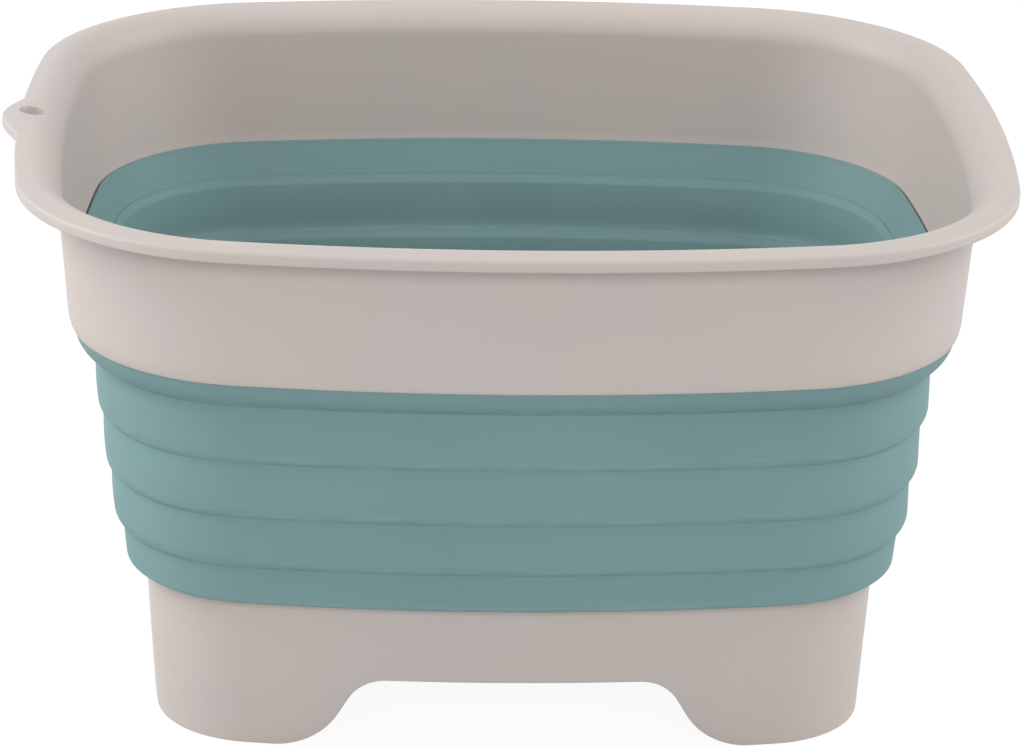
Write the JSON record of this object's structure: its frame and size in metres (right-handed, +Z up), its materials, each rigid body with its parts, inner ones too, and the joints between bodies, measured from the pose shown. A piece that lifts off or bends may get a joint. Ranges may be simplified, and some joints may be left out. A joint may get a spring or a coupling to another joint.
{
  "type": "collapsible washbasin",
  "caption": "Oblong camp washbasin with a rigid rim and footed base joined by a flexible wall that folds down in rings.",
  "frame": {"origin": "middle of the overall box, at the ground under the feet", "axes": "+Z up, +X along the length away from the hanging tab, +Y across the width away from the viewer"},
  "size_m": [0.3762, 0.327, 0.21],
  "materials": {
    "beige_plastic": "satin moulded polypropylene, warm beige",
    "teal_rubber": "matt thermoplastic elastomer, greyed teal",
    "grey_plastic": "satin moulded plastic, warm grey"
  },
  "bodies": {
    "base": {"base_shell": "beige_plastic", "lower_cuff": "teal_rubber", "drain_seat": "teal_rubber"},
    "band_4": {"wall_band_4": "teal_rubber"},
    "band_3": {"wall_band_3": "teal_rubber"},
    "band_2": {"wall_band_2": "teal_rubber"},
    "band_1": {"wall_band_1": "teal_rubber"},
    "rim": {"rim_shell": "beige_plastic", "upper_cuff": "teal_rubber"},
    "plug": {"drain_plug": "grey_plastic"}
  },
  "joints": [
    {"name": "band_4_fold", "type": "slide", "parent": "base", "child": "band_4", "axis": [0, 0, -1], "range_m": [0, 0.0171]},
    {"name": "band_3_fold", "type": "slide", "parent": "band_4", "child": "band_3", "axis": [0, 0, -1], "range_m": [0, 0.0171]},
    {"name": "band_2_fold", "type": "slide", "parent": "band_3", "child": "band_2", "axis": [0, 0, -1], "range_m": [0, 0.0206]},
    {"name": "band_1_fold", "type": "slide", "parent": "band_2", "child": "band_1", "axis": [0, 0, -1], "range_m": [0, 0.0222]},
    {"name": "rim_fold", "type": "slide", "parent": "band_1", "child": "rim", "axis": [0, 0, -1], "range_m": [0, 0.0228]},
    {"name": "plug_lift", "type": "slide", "parent": "base", "child": "plug", "axis": [0, 0, 1], "range_m": [0, 0.03]}
  ]
}
